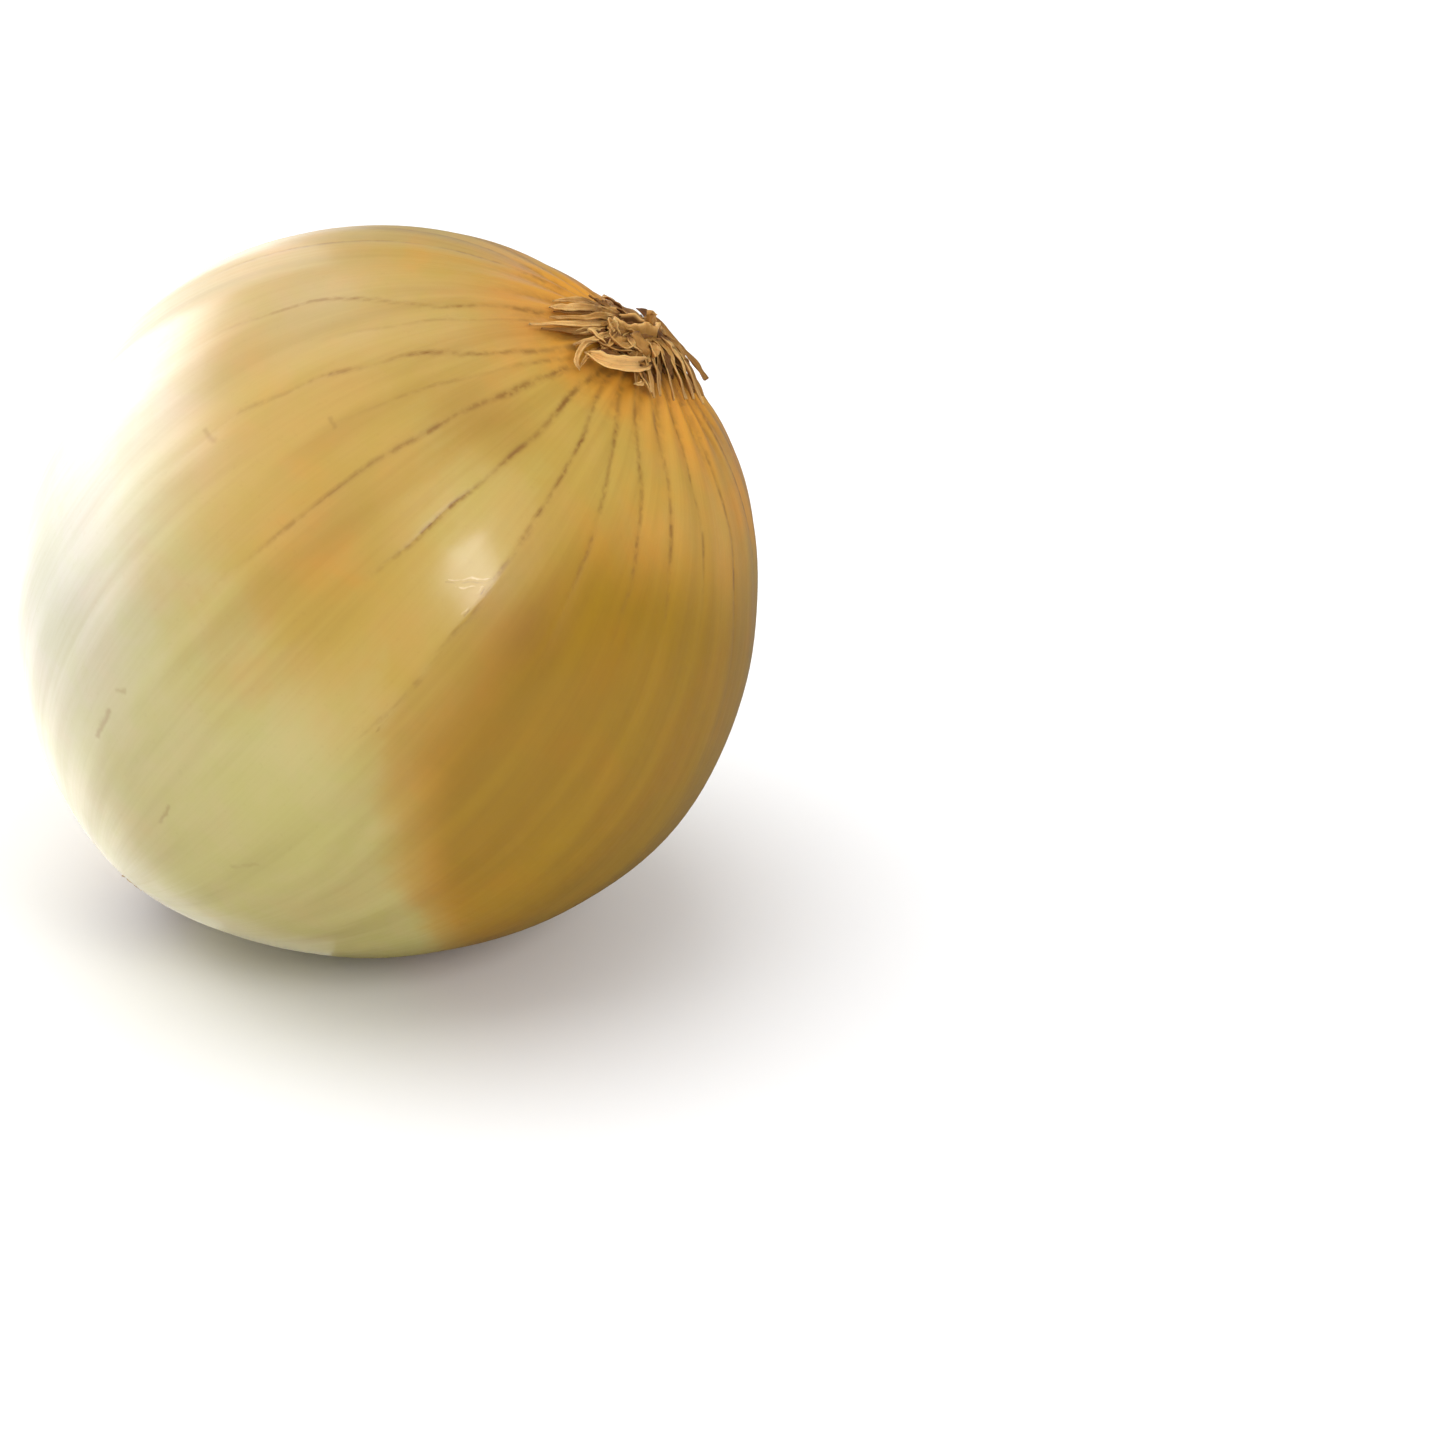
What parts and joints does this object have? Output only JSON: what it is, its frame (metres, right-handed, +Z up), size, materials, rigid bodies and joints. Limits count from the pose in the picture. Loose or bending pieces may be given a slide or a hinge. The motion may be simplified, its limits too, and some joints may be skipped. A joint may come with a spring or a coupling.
{
  "type": "onion",
  "caption": "Whole globe onion with a glossy dry skin, a short cut neck with papery shreds and a dried root tuft, lying on a small flat spot.",
  "frame": {"origin": "on the ground plane, under the middle of the bulb, on the flat spot that the onion rests on", "axes": "+Z up; the growth axis leans 40.5 degrees from +Z towards +X, so the neck points up towards +X and the root tuft down towards -X; +Y is to the far side when the neck is on the right"},
  "size_m": [0.0809, 0.0803, 0.0801],
  "materials": {
    "golden_skin": "thin dry outer skin with a waxy gloss, amber at the neck and yellow-green below, over a firm bulb",
    "dried_neck": "matt, crumpled dry papery skin, tan with dark brown creases",
    "dried_root": "matt dried roots, straw to brown"
  },
  "bodies": {
    "root": {"bulb": "golden_skin", "dried_neck": "dried_neck", "root_tuft": "dried_root"}
  },
  "joints": []
}
